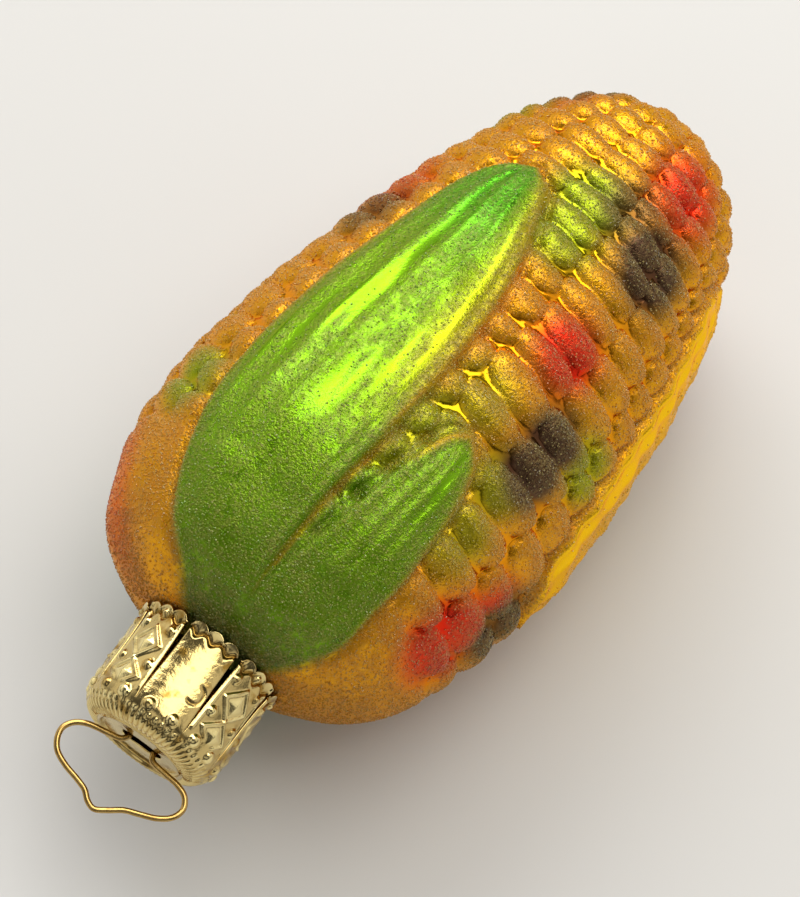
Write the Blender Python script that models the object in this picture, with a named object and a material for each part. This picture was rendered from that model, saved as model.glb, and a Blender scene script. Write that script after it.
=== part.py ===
"""Blown-glass Christmas ornament in the shape of a corn cob, lying on its side.

Three pieces: the hollow glass body with its open neck, the stamped crown cap
over the neck, and the spring wire hanger whose legs pass through the cap's
slot into the neck. +Z is up, the cap points to -X and the cob's tip to +X,
and the origin is on the surface under the middle of the ornament.
"""
import math

import bmesh
import bpy
import numpy as np
from mathutils import Matrix, Vector

MM = 0.001

# ---- Driving dimensions, in millimetres and degrees ------------------------
# "Depth" runs along the ornament's axis from the cap's face to the cob's tip.
# "Turn" runs around the axis, from straight up (0) towards -Y (90).
BODY_OUTLINE = [(11.0, 7.0), (13.2, 7.6), (14.4, 11.8), (17.6, 17.0), (21.5, 20.0),
                (29.0, 22.9), (38.0, 23.9), (48.0, 23.5), (59.0, 22.3), (70.5, 20.1),
                (82.0, 16.7), (88.5, 13.8), (92.6, 10.7), (95.2, 7.0), (96.5, 3.4), (96.9, 0.0)]
WALL = 0.7                  # glass wall at its thinnest, in the grooves
POLE_RADIUS = 0.6           # ring that the outer wall closes on at the tip
INNER_DEPTHS = [1.3, 6.0, 11.0, 14.0, 17.0, 22.0, 30.0, 40.0, 52.0, 64.0, 75.0, 84.0, 90.0]
INNER_POLE_DEPTH = 93.2     # where the inner wall closes
HUSK_DEPTHS = [11.0, 13.2, 14.4, 16.0, 18.7, 22.0]   # smooth part, before the kernels

ROWS = 16                   # lengthwise rows of kernels
COLUMNS_PER_ROW = 4
COLUMNS = ROWS * COLUMNS_PER_ROW
ROW_TURN = 20.0             # turn of the groove where row 0 begins
ROW_SHIFTS = [0.12, 0.28, -0.03, 0.2, 0.4, 0.1, -0.15, 0.22,
              0.35, 0.05, -0.2, 0.15, 0.3, 0.1, -0.1, -0.1]  # each row's stagger, in kernels
KERNELS_START = 25.0        # depth of the first ring of kernels
KERNEL_PITCH_BASE = 5.1     # kernel length near the base
KERNEL_PITCH_TIP = 3.0      # and at the tip
KERNEL_RELIEF = 1.05        # depth of the grooves round each kernel
ROW_RELIEF = 0.75           # depth of the groove between two rows

# Husk leaves: (depth, turn of the midrib, half width in degrees), base to tip.
LEAVES = {
    "front_large": [(13, 2, 9), (20, -6, 20), (30, -10, 23), (42, -10.7, 24.3), (54, -11.5, 23),
                    (62, -13, 20), (69, -14.5, 14.5), (73, -13.5, 7), (75, -12, 0)],
    "front_small": [(13, 34, 14), (18, 35, 18), (25, 34.5, 13.5), (33, 33, 9.5), (40, 32, 6),
                    (44.5, 31, 0)],
    "under_gold": [(38, 106, 4), (44, 109, 18), (55, 110, 24), (66, 108, 22), (75, 102, 17),
                   (81, 94, 11), (85, 88, 0)],
    "back_large": [(13, 182, 10), (20, 181, 19), (32, 180, 23), (50, 180, 24), (64, 180, 18), (72, 181, 10),
                   (77, 182, 0)],
    "back_small": [(13, 224, 13), (18, 225, 17), (28, 226, 12), (38, 227, 7), (45, 228, 0)],
}
LEAF_RISE = 0.35            # how far a leaf stands above the kernels

BEND_END = 27.0             # depth where the neck starts to lean
BEND_START = 13.0           # depth from which the whole neck and cap lean
LEAN = 7.5                  # lean of the neck, cap and hanger
LEAN_TURN = 107.6           # turn that they lean towards
TIP_DRIFT = 1.2             # how far the tip wanders to the other side
TIP_DRIFT_START = 55.0

MOUTH_DEPTH = 1.3           # rim of the glass neck, under the cap
NECK_RADIUS = 7.0
NECK_MIDDLE = 6.0           # the neck is straight down to here

CAP_SHEET = 0.3             # thickness of the stamped sheet
DISC_RADIUS = 4.9           # sunken middle of the cap's face
DISC_SINK = 0.5
RING_RADIUS = 5.55          # crest of the raised ring round it
SHOULDER = [(6.3, 0.25), (7.1, 0.65), (7.75, 1.3), (8.15, 2.3)]   # radius, depth
PETALS = 8
PETAL_TURN = -10.4          # turn of the first petal's left edge
PETAL_COLUMNS = 6
PETAL_ROWS = [(8.3, 5.0), (8.3, 8.0), (8.45, 10.8), (8.75, 12.3)]  # radius, depth
PETAL_GAP = 0.38            # half the slit between two petals, at their ends
LOBE_DEPTH = 0.9            # the scallops stand this far beyond the last row
PETAL_FLARE = 0.12
SLOT_HALF_LENGTH = 2.5
SLOT_HALF_WIDTH = 1.05

WIRE_DIAMETER = 0.65
WIRE_TURN = 102.6           # turn of the hanger's plane
# Half of the bent wire on each side: (across, out from the cap's face).
WIRE_LOOP = [(4.3, -7.6), (5.1, -6.6), (4.6, -5.0), (2.6, -2.6), (1.75, -1.2), (1.7, -0.4), (2.3, 0.35),
             (4.2, 0.72), (6.0, 0.95), (7.4, 1.6), (8.05, 2.9), (7.6, 4.35), (6.25, 5.55), (4.4, 6.4),
             (2.7, 7.15), (1.3, 8.2), (-0.1, 9.05), (-1.1, 8.7), (-2.0, 7.9), (-3.3, 7.35), (-5.4, 6.8),
             (-6.9, 6.0), (-7.8, 4.8), (-7.95, 3.5), (-7.2, 2.2), (-5.9, 1.35), (-3.8, 0.8), (-2.3, 0.35),
             (-1.7, -0.4), (-1.75, -1.2), (-2.6, -2.6), (-4.6, -5.0), (-5.1, -6.6), (-4.3, -7.6)]
WIRE_STEPS = 2              # curve points for each bend point

LENGTH_MIDDLE = 43.916      # depth that lies over the origin
AXIS_SIDE = -0.082          # sideways place of the axis, towards -Y
AXIS_HEIGHT = 22.95         # height of the axis over the flat leaf that the ornament lies on


# ---- Small helpers ---------------------------------------------------------
def smooth_step(low, high, value):
    t = np.clip((value - low) / (high - low), 0.0, 1.0)
    return t * t * (3.0 - 2.0 * t)


def spline(points, steps):
    """A smooth curve through a short list of 2-D points, `steps` points to each span."""
    pts = np.array(points, dtype=float)
    ends = np.vstack([2 * pts[0] - pts[1], pts, 2 * pts[-1] - pts[-2]])
    curve = []
    for i in range(len(pts) - 1):
        p0, p1, p2, p3 = ends[i:i + 4]
        for k in range(steps):
            t = k / steps
            curve.append(0.5 * (2 * p1 + (p2 - p0) * t + (2 * p0 - 5 * p1 + 4 * p2 - p3) * t * t
                                + (3 * p1 - p0 - 3 * p2 + p3) * t ** 3))
    curve.append(pts[-1])
    return np.array(curve)


def around(turn):
    """Unit vector across the axis at a turn given in degrees."""
    return Vector((0.0, -math.sin(math.radians(turn)), math.cos(math.radians(turn))))


def axis_point(depth):
    """Point of the ornament's straight axis, in metres."""
    return Vector(((depth - LENGTH_MIDDLE) * MM, -AXIS_SIDE * MM, AXIS_HEIGHT * MM))


def straight_place(depth, radius, turn):
    return axis_point(depth) + around(turn) * (radius * MM)


LEAN_PIVOT = axis_point(BEND_END)
LEAN_AXIS = Vector((-1.0, 0.0, 0.0)).cross(around(LEAN_TURN))
LEAN_MATRIX = (Matrix.Translation(LEAN_PIVOT) @ Matrix.Rotation(math.radians(LEAN), 4, LEAN_AXIS)
               @ Matrix.Translation(-LEAN_PIVOT))


def cap_place(depth, radius, turn):
    """Place on the cap, neck and hanger, which lean together."""
    return LEAN_MATRIX @ straight_place(depth, radius, turn)


def body_place(depth, radius, turn):
    """Place on the glass: straight at the cob, leaning at the neck, drifting at the tip."""
    upright = straight_place(depth, radius, turn)
    lean = float(1.0 - smooth_step(BEND_START, BEND_END, depth))
    drift = float(smooth_step(TIP_DRIFT_START, BODY_OUTLINE[-1][0], depth)) * TIP_DRIFT * MM
    return upright.lerp(LEAN_MATRIX @ upright, lean) - around(LEAN_TURN) * drift


def add_object(name, bm, material):
    bmesh.ops.recalc_face_normals(bm, faces=bm.faces[:])
    mesh = bpy.data.meshes.new(name)
    bm.to_mesh(mesh)
    bm.free()
    mesh.materials.append(material)
    mesh.shade_smooth()
    mesh.set_sharp_from_angle(angle=math.radians(40))
    obj = bpy.data.objects.new(name, mesh)
    bpy.context.scene.collection.objects.link(obj)
    return obj


def make_material(name, colour, roughness, metallic):
    material = bpy.data.materials.new(name)
    material.use_nodes = True
    shader = material.node_tree.nodes["Principled BSDF"]
    shader.inputs["Base Color"].default_value = (*colour, 1.0)
    shader.inputs["Roughness"].default_value = roughness
    shader.inputs["Metallic"].default_value = metallic
    return material


def add_rings(bm, rings, closed=True):
    """Join each ring of vertices to the next one with faces."""
    for lower, upper in zip(rings, rings[1:]):
        count = len(lower)
        for i in range(count if closed else count - 1):
            j = (i + 1) % count
            bm.faces.new((lower[i], lower[j], upper[j], upper[i]))


# ---- Glass body ------------------------------------------------------------
def kernel_depths():
    """Depth of every kernel groove and crest, from the first ring to the tip."""
    tip = BODY_OUTLINE[-1][0]
    depths = []
    depth = KERNELS_START
    while depth < tip - 1.5:
        depths.append(depth)
        pitch = KERNEL_PITCH_BASE - (KERNEL_PITCH_BASE - KERNEL_PITCH_TIP) * float(
            smooth_step(35.0, 95.0, depth))
        depth += pitch / 2
    return depths


def leaf_cover(depth, turn):
    """1 well inside a husk leaf, 0 outside, between them at its edge."""
    cover = 0.0
    for stations in LEAVES.values():
        depths, middles, halves = zip(*stations)
        if not depths[0] <= depth <= depths[-1]:
            continue
        middle = np.interp(depth, depths, middles)
        half = np.interp(depth, depths, halves)
        away = abs((turn - middle + 180.0) % 360.0 - 180.0)
        cover = max(cover, float(1.0 - smooth_step(half - 3.0, half + 1.5, away)))
    return cover


def glass_ring(bm, place, depth, radius):
    """A ring of vertices round the glass, all at one depth."""
    return [bm.verts.new(place(depth, radius, ROW_TURN + 360.0 * c / COLUMNS)) for c in range(COLUMNS)]


def outer_ring(bm, depths, ring, outline):
    """A ring of the outer wall, with the kernels' stagger and relief."""
    verts = []
    first_kernel = len(HUSK_DEPTHS)
    on_kernels = ring >= first_kernel
    for column in range(COLUMNS):
        row = column // COLUMNS_PER_ROW
        between_rows = column % COLUMNS_PER_ROW == 0
        depth = depths[ring]
        if on_kernels and ring < len(depths) - 2:
            shift = (ROW_SHIFTS[row] + ROW_SHIFTS[row - 1]) / 2 if between_rows else ROW_SHIFTS[row]
            pitch = depths[ring + 1] - depths[ring - 1]
            depth += shift * pitch * float(smooth_step(KERNELS_START, KERNELS_START + 6.0, depth))
        turn = ROW_TURN + 360.0 * column / COLUMNS
        radius = float(np.interp(depth, outline[:, 0], outline[:, 1]))
        if on_kernels:
            groove = KERNEL_RELIEF if (ring - first_kernel) % 2 == 0 else 0.0
            if between_rows:
                groove = max(groove, ROW_RELIEF)
            cover = leaf_cover(depth, turn)
            fade = float(smooth_step(3.0, 9.0, radius))
            radius += fade * (cover * LEAF_RISE - (1.0 - cover) * groove)
        vert = bm.verts.new(body_place(depth, radius, turn))
        vert.co.z = max(vert.co.z, 0.0)   # the leaf underneath lies flat on the surface
        verts.append(vert)
    return verts


def inner_ring(bm, depth, outline):
    """A ring of the smooth inner wall, thicker through where the wall slopes."""
    radius = float(np.interp(depth - 0.4, outline[:, 0], outline[:, 1], left=NECK_RADIUS))
    shoulder = smooth_step(11.0, 14.0, depth) * (1.0 - smooth_step(17.0, 30.0, depth))
    slope = 1.0 + 0.45 * float(shoulder + smooth_step(75.0, 90.0, depth))
    wall = WALL if depth < BEND_START else WALL + KERNEL_RELIEF
    place = cap_place if depth <= NECK_MIDDLE else body_place
    return glass_ring(bm, place, depth, radius - wall * slope)


def make_glass_body():
    outline = spline(BODY_OUTLINE, 12)
    tip = BODY_OUTLINE[-1][0]
    depths = HUSK_DEPTHS + kernel_depths() + [tip - 1.0]
    bm = bmesh.new()
    outer = [glass_ring(bm, cap_place, depth, NECK_RADIUS) for depth in (MOUTH_DEPTH, NECK_MIDDLE)]
    outer += [outer_ring(bm, depths, ring, outline) for ring in range(len(depths))]
    outer.append(glass_ring(bm, body_place, tip, POLE_RADIUS))
    inner = [inner_ring(bm, depth, outline) for depth in INNER_DEPTHS]
    inner.append(glass_ring(bm, body_place, INNER_POLE_DEPTH, POLE_RADIUS))
    add_rings(bm, outer)
    add_rings(bm, [inner[0], outer[0]])
    add_rings(bm, inner[::-1])
    bm.faces.new(outer[-1])
    bm.faces.new(inner[-1])
    bmesh.ops.triangulate(bm, faces=[f for f in bm.faces if len(f.verts) > 3])
    glass = make_material("lacquered_silvered_glass", (0.58, 0.22, 0.02), 0.3, 0.6)
    return add_object("glass_body", bm, glass)


# ---- Crown cap -------------------------------------------------------------
def slot_reach(turn):
    """Distance from the cap's axis to the slot's rounded edge, at a turn."""
    angle = math.radians(turn - WIRE_TURN)
    along = abs(math.cos(angle) / SLOT_HALF_LENGTH)
    across = abs(math.sin(angle) / SLOT_HALF_WIDTH)
    return (along ** 4 + across ** 4) ** -0.25


def petal_row(bm, left, depth, radius, gap, lobed=False):
    """One row of a petal's vertices; the last row of a petal ends in three lobes."""
    row = []
    for c in range(PETAL_COLUMNS + 1):
        share = c / PETAL_COLUMNS
        turn = left + gap + (360.0 / PETALS - 2 * gap) * share
        beyond = LOBE_DEPTH * (0.45 + 0.55 * abs(math.sin(3 * math.pi * share))) if lobed else 0.0
        row.append(bm.verts.new(cap_place(depth + beyond, radius, turn)))
    return row


def make_cap():
    columns = PETALS * PETAL_COLUMNS
    turns = [PETAL_TURN + 360.0 * c / columns for c in range(columns)]
    bm = bmesh.new()
    rings = [[bm.verts.new(cap_place(DISC_SINK, slot_reach(turn), turn)) for turn in turns]]
    face = [(DISC_RADIUS, DISC_SINK), (RING_RADIUS - 0.25, 0.04), (RING_RADIUS + 0.15, 0.0)]
    for radius, depth in face + SHOULDER:
        rings.append([bm.verts.new(cap_place(depth, radius, turn)) for turn in turns])
    add_rings(bm, rings)

    rim = rings[-1]
    slit_start = SHOULDER[-1][1]
    slit_end = PETAL_ROWS[-1][1]
    for petal in range(PETALS):
        start = petal * PETAL_COLUMNS
        strip = [[rim[(start + c) % columns] for c in range(PETAL_COLUMNS + 1)]]
        for radius, depth in PETAL_ROWS:
            opened = (depth - slit_start) / (slit_end - slit_start)
            gap = math.degrees(PETAL_GAP * opened / radius)
            strip.append(petal_row(bm, turns[start], depth, radius, gap))
        strip.append(petal_row(bm, turns[start], depth, radius + PETAL_FLARE, gap, lobed=True))
        add_rings(bm, strip, closed=False)

    cap = add_object("cap", bm, make_material("pale_gold_stamping", (0.72, 0.56, 0.22), 0.25, 1.0))
    sheet = cap.modifiers.new("sheet", "SOLIDIFY")
    sheet.thickness = CAP_SHEET * MM
    sheet.offset = -1.0
    sheet.use_even_offset = False
    return cap


# ---- Wire hanger -----------------------------------------------------------
def make_hanger_wire():
    bends = spline(WIRE_LOOP, WIRE_STEPS)
    curve = bpy.data.curves.new("hanger_wire", "CURVE")
    curve.dimensions = "3D"
    curve.bevel_depth = WIRE_DIAMETER / 2 * MM
    curve.bevel_resolution = 2
    curve.use_fill_caps = True
    line = curve.splines.new("POLY")
    line.points.add(len(bends) - 1)
    for point, (across, out) in zip(line.points, bends):
        point.co = (*cap_place(-out, across, WIRE_TURN), 1.0)
    line.use_smooth = True
    curve.materials.append(make_material("brass_wire", (0.62, 0.42, 0.12), 0.25, 1.0))
    wire = bpy.data.objects.new("hanger_wire", curve)
    bpy.context.scene.collection.objects.link(wire)
    return wire


def main():
    for obj in list(bpy.data.objects):
        bpy.data.objects.remove(obj, do_unlink=True)
    make_glass_body()
    make_cap()
    make_hanger_wire()


main()
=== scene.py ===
"""Looks of a blown-glass corn cob ornament lying on a pale table.

The glass is silvered inside and sprayed outside with transparent lacquers, then
dusted with clear sugar-like grains. A stamped gilt crown cap covers its neck, and
a brass spring wire makes the loop it hangs by. Lengths are in millimetres until
they are placed: "depth" runs from the cap's face to the cob's tip, and "turn"
runs round the axis in degrees, from straight up (0) towards -Y (90).
"""
import math

import bmesh
import bpy
import numpy as np
from mathutils import Matrix, Vector


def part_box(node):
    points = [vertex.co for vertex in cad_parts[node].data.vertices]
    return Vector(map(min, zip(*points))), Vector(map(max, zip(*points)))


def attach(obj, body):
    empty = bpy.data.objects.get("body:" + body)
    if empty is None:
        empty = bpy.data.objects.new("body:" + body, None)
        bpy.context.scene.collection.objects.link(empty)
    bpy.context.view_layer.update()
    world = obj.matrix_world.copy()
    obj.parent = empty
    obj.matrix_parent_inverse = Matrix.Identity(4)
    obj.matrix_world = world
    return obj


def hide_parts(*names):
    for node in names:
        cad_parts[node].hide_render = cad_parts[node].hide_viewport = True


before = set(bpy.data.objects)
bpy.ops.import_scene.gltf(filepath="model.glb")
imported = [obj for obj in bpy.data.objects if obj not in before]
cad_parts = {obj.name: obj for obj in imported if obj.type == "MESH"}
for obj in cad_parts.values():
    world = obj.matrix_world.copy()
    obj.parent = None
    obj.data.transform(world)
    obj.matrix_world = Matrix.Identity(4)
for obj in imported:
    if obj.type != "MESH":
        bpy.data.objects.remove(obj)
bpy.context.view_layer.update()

MM = 0.001
SEED = 7

# ---- The frame's own places -------------------------------------------------
GLASS_LOW, GLASS_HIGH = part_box("glass_body")
TIP_DEPTH = 96.9
CAP_FACE_X = GLASS_HIGH.x / MM - TIP_DEPTH
AXIS_Y = (GLASS_LOW.y + GLASS_HIGH.y) / 2 / MM + 0.082
AXIS_Z = GLASS_LOW.z / MM + 22.95

# ---- Shape of the ornament, as its mould gives it ----------------------------
BODY_OUTLINE = [(11.0, 7.0), (13.2, 7.6), (14.4, 11.8), (17.6, 17.0), (21.5, 20.0),
                (29.0, 22.9), (38.0, 23.9), (48.0, 23.5), (59.0, 22.3), (70.5, 20.1),
                (82.0, 16.7), (88.5, 13.8), (92.6, 10.7), (95.2, 7.0), (96.5, 3.4), (TIP_DEPTH, 0.0)]
NECK_RADIUS = 7.0
MOUTH_DEPTH = 1.3
NECK_END, SHOULDER_DEPTH = 11.5, 12.0
WALL, WALL_WITH_RELIEF = 1.0, 2.4
INNER_TIP_DEPTH = 92.8
BEND_START, BEND_END = 13.0, 27.0
LEAN, LEAN_TURN = 7.5, 107.6
TIP_DRIFT, TIP_DRIFT_START = 1.2, 55.0

ROWS = 16
ROW_TURN = 20.0
ROW_WIDTH = 360.0 / ROWS
ROW_SHIFTS = [0.12, 0.28, -0.03, 0.2, 0.4, 0.1, -0.15, 0.22,
              0.35, 0.05, -0.2, 0.15, 0.3, 0.1, -0.1, -0.1]
KERNELS_START, KERNELS_END = 25.0, 95.0
KERNEL_PITCH_BASE, KERNEL_PITCH_TIP = 5.1, 3.0
KERNEL_RELIEF = 1.15

# Husk leaves: (depth, turn of the midrib, half width in degrees), base to tip.
LEAVES = {
    "front_large": [(13, 2, 9), (20, -6, 20), (30, -10, 23), (42, -10.7, 24.3), (54, -11.5, 23),
                    (62, -13, 20.5), (67, -14.5, 17.5), (71, -15.5, 13.5), (73.6, -15, 8.5), (75.2, -14, 0)],
    "front_small": [(13, 34, 14), (18, 35, 18), (25, 34.5, 14), (33, 33, 11), (39, 32, 8.5), (43, 31, 5.5),
                    (45.2, 30, 0)],
    "under_gold": [(41, 109, 2), (45, 108, 21), (50, 108, 27), (57, 109, 30), (66, 108, 29), (75, 102, 24),
                   (81, 94, 16), (85, 88, 0)],
    "back_large": [(13, 182, 10), (20, 181, 19), (32, 180, 23), (50, 180, 24), (64, 180, 18), (72, 181, 10),
                   (77, 182, 0)],
    "back_small": [(13, 224, 13), (18, 225, 17), (28, 226, 12), (38, 227, 7), (45, 228, 0)],
}
LARGE_LEAF, GOLD_LEAF = (list(LEAVES).index(name) for name in ("front_large", "under_gold"))
LEAF_RISE = 0.15

# Lacquers, in the order they were sprayed; each lies where the mask of its name is.
# The last, "neck", is painted shade, not lacquer: the cap's shadow and dark reflection on the glass.
GROUND_LACQUERS = ("#F0B010", "#DE960E")
LACQUERS = (("gold", "#FFCA16"), ("red", "#E02A14"), ("green", "#98AE16"), ("violet", "#523A2E"),
            ("leaf", "#72A80A"), ("leaf_tip", "#30A826"), ("leaf_border", "#B4A410"), ("neck", "#344010"))

# Sprayed patches: (depth, turn, spread in mm, strength).
RED_SPRAY = [(60.5, 35, 4.2, 1.1), (86.5, 36, 5, 1.0), (30, 76, 5.5, 1.2), (36, 79, 4, 1.0),
             (20.5, -70, 5, 0.7), (66, -60, 5, 0.8), (88, -55, 4, 0.5),
             (52, 150, 6, 1.0), (52, 225, 6, 1.0), (70, 255, 5, 1.0), (80, 160, 5, 0.9)]
GREEN_SPRAY = [(71, 8, 4.5, 1.0), (76, 7, 4.5, 1.1), (37, 45, 4.5, 0.7), (44, 45, 3.5, 0.8),
               (54.5, 66, 3.5, 0.9), (32, -48, 4, 1.0), (84, -68, 4, 0.8), (42, 21, 5, 0.9), (49, 24, 4, 0.6),
               (60, 130, 6, 0.8), (30, 240, 6, 0.9), (82, 215, 6, 0.9), (55, 265, 5, 0.8)]
VIOLET_SPRAY = [(48, 51, 3.8, 1.2), (52.5, 50, 3.6, 1.2), (37, 90, 4.5, 1.2), (76, 40, 4.6, 1.2),
                (61, -52, 4, 0.8), (92, -68, 5, 0.9), (79, 21, 3.5, 0.8), (64, 175, 5, 1.0),
                (45, 262, 5, 1.0), (85, 255, 5, 0.9)]

# Points round a kernel row, rings of points to a kernel, and rings on the husk and at the tip.
COLUMNS_PER_ROW = 22
RINGS_PER_KERNEL = 12
HUSK_RINGS, TIP_RINGS = 46, 20

# One seed for each kind of unevenness in the glass.
SEED_FIRST_RING, SEED_VEINS, SEED_FOLDS, SEED_LUMPS = 3, 5, 11, 13
SEED_ROWS, SEED_KERNELS, SEED_GOLD_LEAF = 21, 23, 31


# ---- Placing -----------------------------------------------------------------
def smooth_step(low, high, value):
    t = np.clip((np.asarray(value, dtype=float) - low) / (high - low), 0.0, 1.0)
    return t * t * (3.0 - 2.0 * t)


def spline(points, steps):
    """A smooth curve through a short list of points, `steps` points to each span."""
    pts = np.array(points, dtype=float)
    ends = np.vstack([2 * pts[0] - pts[1], pts, 2 * pts[-1] - pts[-2]])
    curve = []
    for i in range(len(pts) - 1):
        p0, p1, p2, p3 = ends[i:i + 4]
        for k in range(steps):
            t = k / steps
            curve.append(0.5 * (2 * p1 + (p2 - p0) * t + (2 * p0 - 5 * p1 + 4 * p2 - p3) * t * t
                                + (3 * p1 - p0 - 3 * p2 + p3) * t ** 3))
    curve.append(pts[-1])
    return np.array(curve)


def hump(value, centre, width):
    """A soft bump, 1 at its centre."""
    return np.exp(-((value - centre) / width) ** 2)


def arc_lengths(curve):
    """Length along a curve from its start to each of its points."""
    return np.concatenate([[0.0], np.cumsum(np.hypot(*np.diff(curve, axis=0).T))])


def around(turn):
    """The outward direction at a turn."""
    a = np.radians(turn)
    return np.stack([np.zeros_like(a), -np.sin(a), np.cos(a)], axis=-1)


def axis_point(depth):
    """A point on the cob's axis."""
    depth = np.asarray(depth, dtype=float)
    return np.stack([depth + CAP_FACE_X, np.full_like(depth, AXIS_Y), np.full_like(depth, AXIS_Z)], axis=-1)


LEAN_PIVOT = axis_point(BEND_END)
LEAN_SIDE = around(np.array(LEAN_TURN))


def leaned(points):
    """Points in the ornament's straight frame, turned with the leaning neck."""
    rel = points - LEAN_PIVOT
    along = rel[..., 0]
    side = rel @ LEAN_SIDE
    rest = rel - along[..., None] * np.array([1.0, 0, 0]) - side[..., None] * LEAN_SIDE
    c, s = math.cos(math.radians(LEAN)), math.sin(math.radians(LEAN))
    new_along = along * c + side * s
    new_side = side * c - along * s
    return LEAN_PIVOT + new_along[..., None] * np.array([1.0, 0, 0]) + new_side[..., None] * LEAN_SIDE + rest


def cap_place(depth, radius, turn):
    """Places a point of the cap, the wire or the neck, which all lean."""
    depth, radius, turn = np.broadcast_arrays(*(np.asarray(v, dtype=float) for v in (depth, radius, turn)))
    return leaned(axis_point(depth) + around(turn) * radius[..., None])


def body_place(depth, radius, turn):
    """Places a point of the bulb: it bends over to the leaning neck and drifts at the tip."""
    depth, radius, turn = np.broadcast_arrays(*(np.asarray(v, dtype=float) for v in (depth, radius, turn)))
    upright = axis_point(depth) + around(turn) * radius[..., None]
    lean = (1.0 - smooth_step(BEND_START, BEND_END, depth))[..., None]
    drift = (smooth_step(TIP_DRIFT_START, TIP_DEPTH, depth) * TIP_DRIFT)[..., None]
    return upright * (1 - lean) + leaned(upright) * lean - LEAN_SIDE * drift


# ---- Node helpers ------------------------------------------------------------
def add_node(tree, kind, inputs=None, **settings):
    """Add a node, apply its settings, and set or link its inputs (by name or index)."""
    node = tree.nodes.new(kind)
    for key, value in settings.items():
        setattr(node, key, value)
    for key, value in (inputs or {}).items():
        socket = node.inputs[key]
        if isinstance(value, bpy.types.NodeSocket):
            tree.links.new(value, socket)
        else:
            socket.default_value = value
    return node


def reckon(tree, operation, first, second=0.0):
    """One step of arithmetic in a node tree."""
    return add_node(tree, "ShaderNodeMath", {0: first, 1: second}, operation=operation).outputs[0]


def srgb(hex_colour):
    """Linear RGBA from an sRGB hex value."""
    channels = [int(hex_colour[i:i + 2], 16) / 255 for i in (1, 3, 5)]
    linear = [c / 12.92 if c <= 0.04045 else ((c + 0.055) / 1.055) ** 2.4 for c in channels]
    return (*linear, 1.0)


# ---- Materials ---------------------------------------------------------------
def new_material(name):
    """A material with its tree, its shader and the object's own coordinates."""
    material = bpy.data.materials.new(name)
    material.use_nodes = True
    tree = material.node_tree
    coords = add_node(tree, "ShaderNodeTexCoord").outputs["Object"]
    return material, tree, tree.nodes["Principled BSDF"], coords


def stored_value(tree, label):
    """A value stored on the mesh by its maker."""
    return add_node(tree, "ShaderNodeAttribute", attribute_name=label).outputs["Fac"]


def mottle(tree, coords, scale, detail, roughness=0.5):
    """Cloudy unevenness, about 0.25 to 0.75."""
    return add_node(tree, "ShaderNodeTexNoise", {"Vector": coords, "Scale": scale, "Detail": detail,
                                                 "Roughness": roughness}).outputs["Fac"]


def stretch(tree, value, low, high, new_low=0.0, new_high=1.0):
    """Moves the range low..high to new_low..new_high, and holds what is outside."""
    return add_node(tree, "ShaderNodeMapRange", {
        "Value": value, "From Min": low, "From Max": high, "To Min": new_low,
        "To Max": new_high}).outputs["Result"]


def blend(tree, share, first, second, blend_type="MIX"):
    """Mixes two colours."""
    return add_node(tree, "ShaderNodeMix", {"Factor": share, "A": first, "B": second}, data_type="RGBA",
                    blend_type=blend_type).outputs["Result"]


def set_inputs(shader, **values):
    """Sets inputs of a shader; an underscore stands for a space in their names."""
    for label, value in values.items():
        shader.inputs[label.replace("_", " ")].default_value = value


def finish_surface(tree, shader, colour, roughness, height, depth_m, strength):
    """Links colour and roughness, and a bump of a real depth in metres."""
    tree.links.new(colour, shader.inputs["Base Color"])
    tree.links.new(roughness, shader.inputs["Roughness"])
    bump = add_node(tree, "ShaderNodeBump", {"Height": height, "Distance": depth_m, "Strength": strength})
    tree.links.new(bump.outputs["Normal"], shader.inputs["Normal"])


def silvered_lacquered_glass():
    """Mirror-silvered glass under sprayed transparent lacquers.

    Light passes the lacquer, reflects on the silver and comes out saturated: the
    grooves burn yellow where they face the light and sink to brown where they
    don't. Where grains are stuck the surface scatters, so it turns paler and matt.
    """
    material, tree, shader, coords = new_material("silvered_lacquered_glass")
    frost = stored_value(tree, "frost")
    colour = blend(tree, mottle(tree, coords, 160.0, 3.0), srgb(GROUND_LACQUERS[0]), srgb(GROUND_LACQUERS[1]))
    # Among these, "neck" is painted shade: the cap's shadow and dark reflection on the glass beside it.
    for label, hex_colour in LACQUERS:
        colour = blend(tree, stored_value(tree, label), colour, srgb(hex_colour))
    pooled = blend(tree, 1.0, colour, srgb("#FFE8C0"), "MULTIPLY")
    colour = blend(tree, stored_value(tree, "groove"), colour, pooled)

    speck = stretch(tree, mottle(tree, coords, 3200.0, 2.0, 0.6), 0.38, 0.62)
    patch = stretch(tree, mottle(tree, coords, 650.0, 3.0, 0.65), 0.35, 0.6, 0.35)
    frost = reckon(tree, "MULTIPLY", frost, patch)
    speckled = reckon(tree, "MULTIPLY", speck, frost)
    between = blend(tree, 1.0, colour, srgb("#D8C090"), "MULTIPLY")
    colour = blend(tree, frost, colour, between)
    pale = blend(tree, 0.28, colour, srgb("#D4BE7C"))
    colour = blend(tree, speckled, colour, pale)
    finish_surface(tree, shader, colour, stretch(tree, frost, 0.0, 1.0, 0.17, 0.55), speckled, 0.00008, 1.0)
    tree.links.new(stretch(tree, frost, 0.0, 1.0, 1.0, 0.5), shader.inputs["Metallic"])
    set_inputs(shader, Specular_Tint=srgb("#FFD488"), Sheen_Weight=0.22, Sheen_Roughness=0.4,
               Sheen_Tint=srgb("#ECD08C"), Coat_Weight=0.1, Coat_Roughness=0.08, Coat_IOR=1.5)
    return material


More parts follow.
